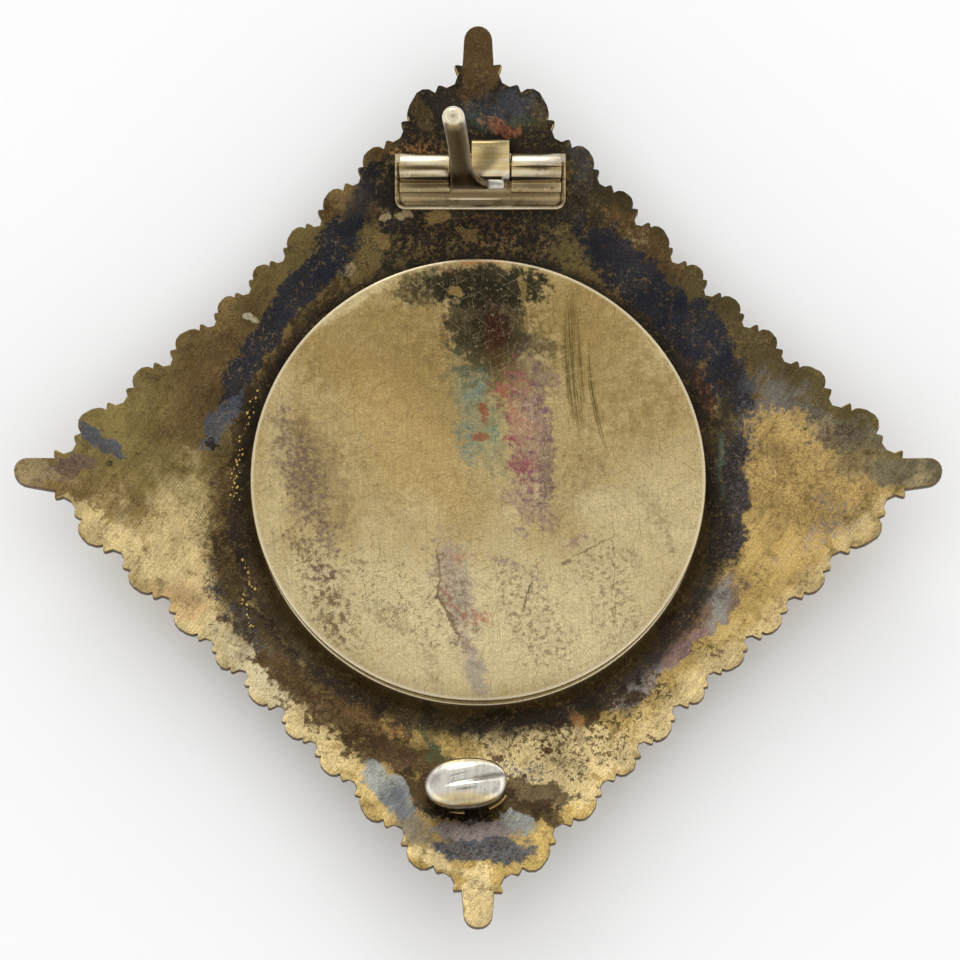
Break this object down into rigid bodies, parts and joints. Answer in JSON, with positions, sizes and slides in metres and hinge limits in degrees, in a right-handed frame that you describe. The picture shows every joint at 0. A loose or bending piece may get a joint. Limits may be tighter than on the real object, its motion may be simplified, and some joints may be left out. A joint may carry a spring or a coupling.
{
  "type": "breast star",
  "caption": "Four-pointed dished breast star of ray bundles lying face down, with a round cover plate, a hinged pin standing open and a hook catch.",
  "frame": {"origin": "on the surface that the star lies on, under the centre of the star", "axes": "+Z is the back of the star, which faces up; +Y points to the arm with the hinge; +X is to the right of it"},
  "size_m": [0.084, 0.084, 0.065],
  "materials": {
    "star_silver": "toned silver, golden with dark brown and blue tarnish",
    "plate_silver": "pale golden toned silver with fine scratches",
    "medallion_silver": "plain toned silver",
    "hinge_silver": "bright silver with warm tints",
    "axle_silver": "brown toned silver wire",
    "pin_silver": "golden brown toned silver, bright at its point",
    "catch_silver": "bright worn silver"
  },
  "bodies": {
    "star": {"star_body": "star_silver", "back_plate": "plate_silver", "front_medallion": "medallion_silver", "hinge_base": "hinge_silver", "hinge_axle": "axle_silver", "catch": "catch_silver"},
    "pin": {"pin": "pin_silver"}
  },
  "joints": [
    {"name": "pin_hinge", "type": "hinge", "parent": "star", "child": "pin", "pos_m": [0.0002, 0.02881, 0.00816], "axis": [1, 0, 0], "range_deg": [0, 75.4]}
  ]
}
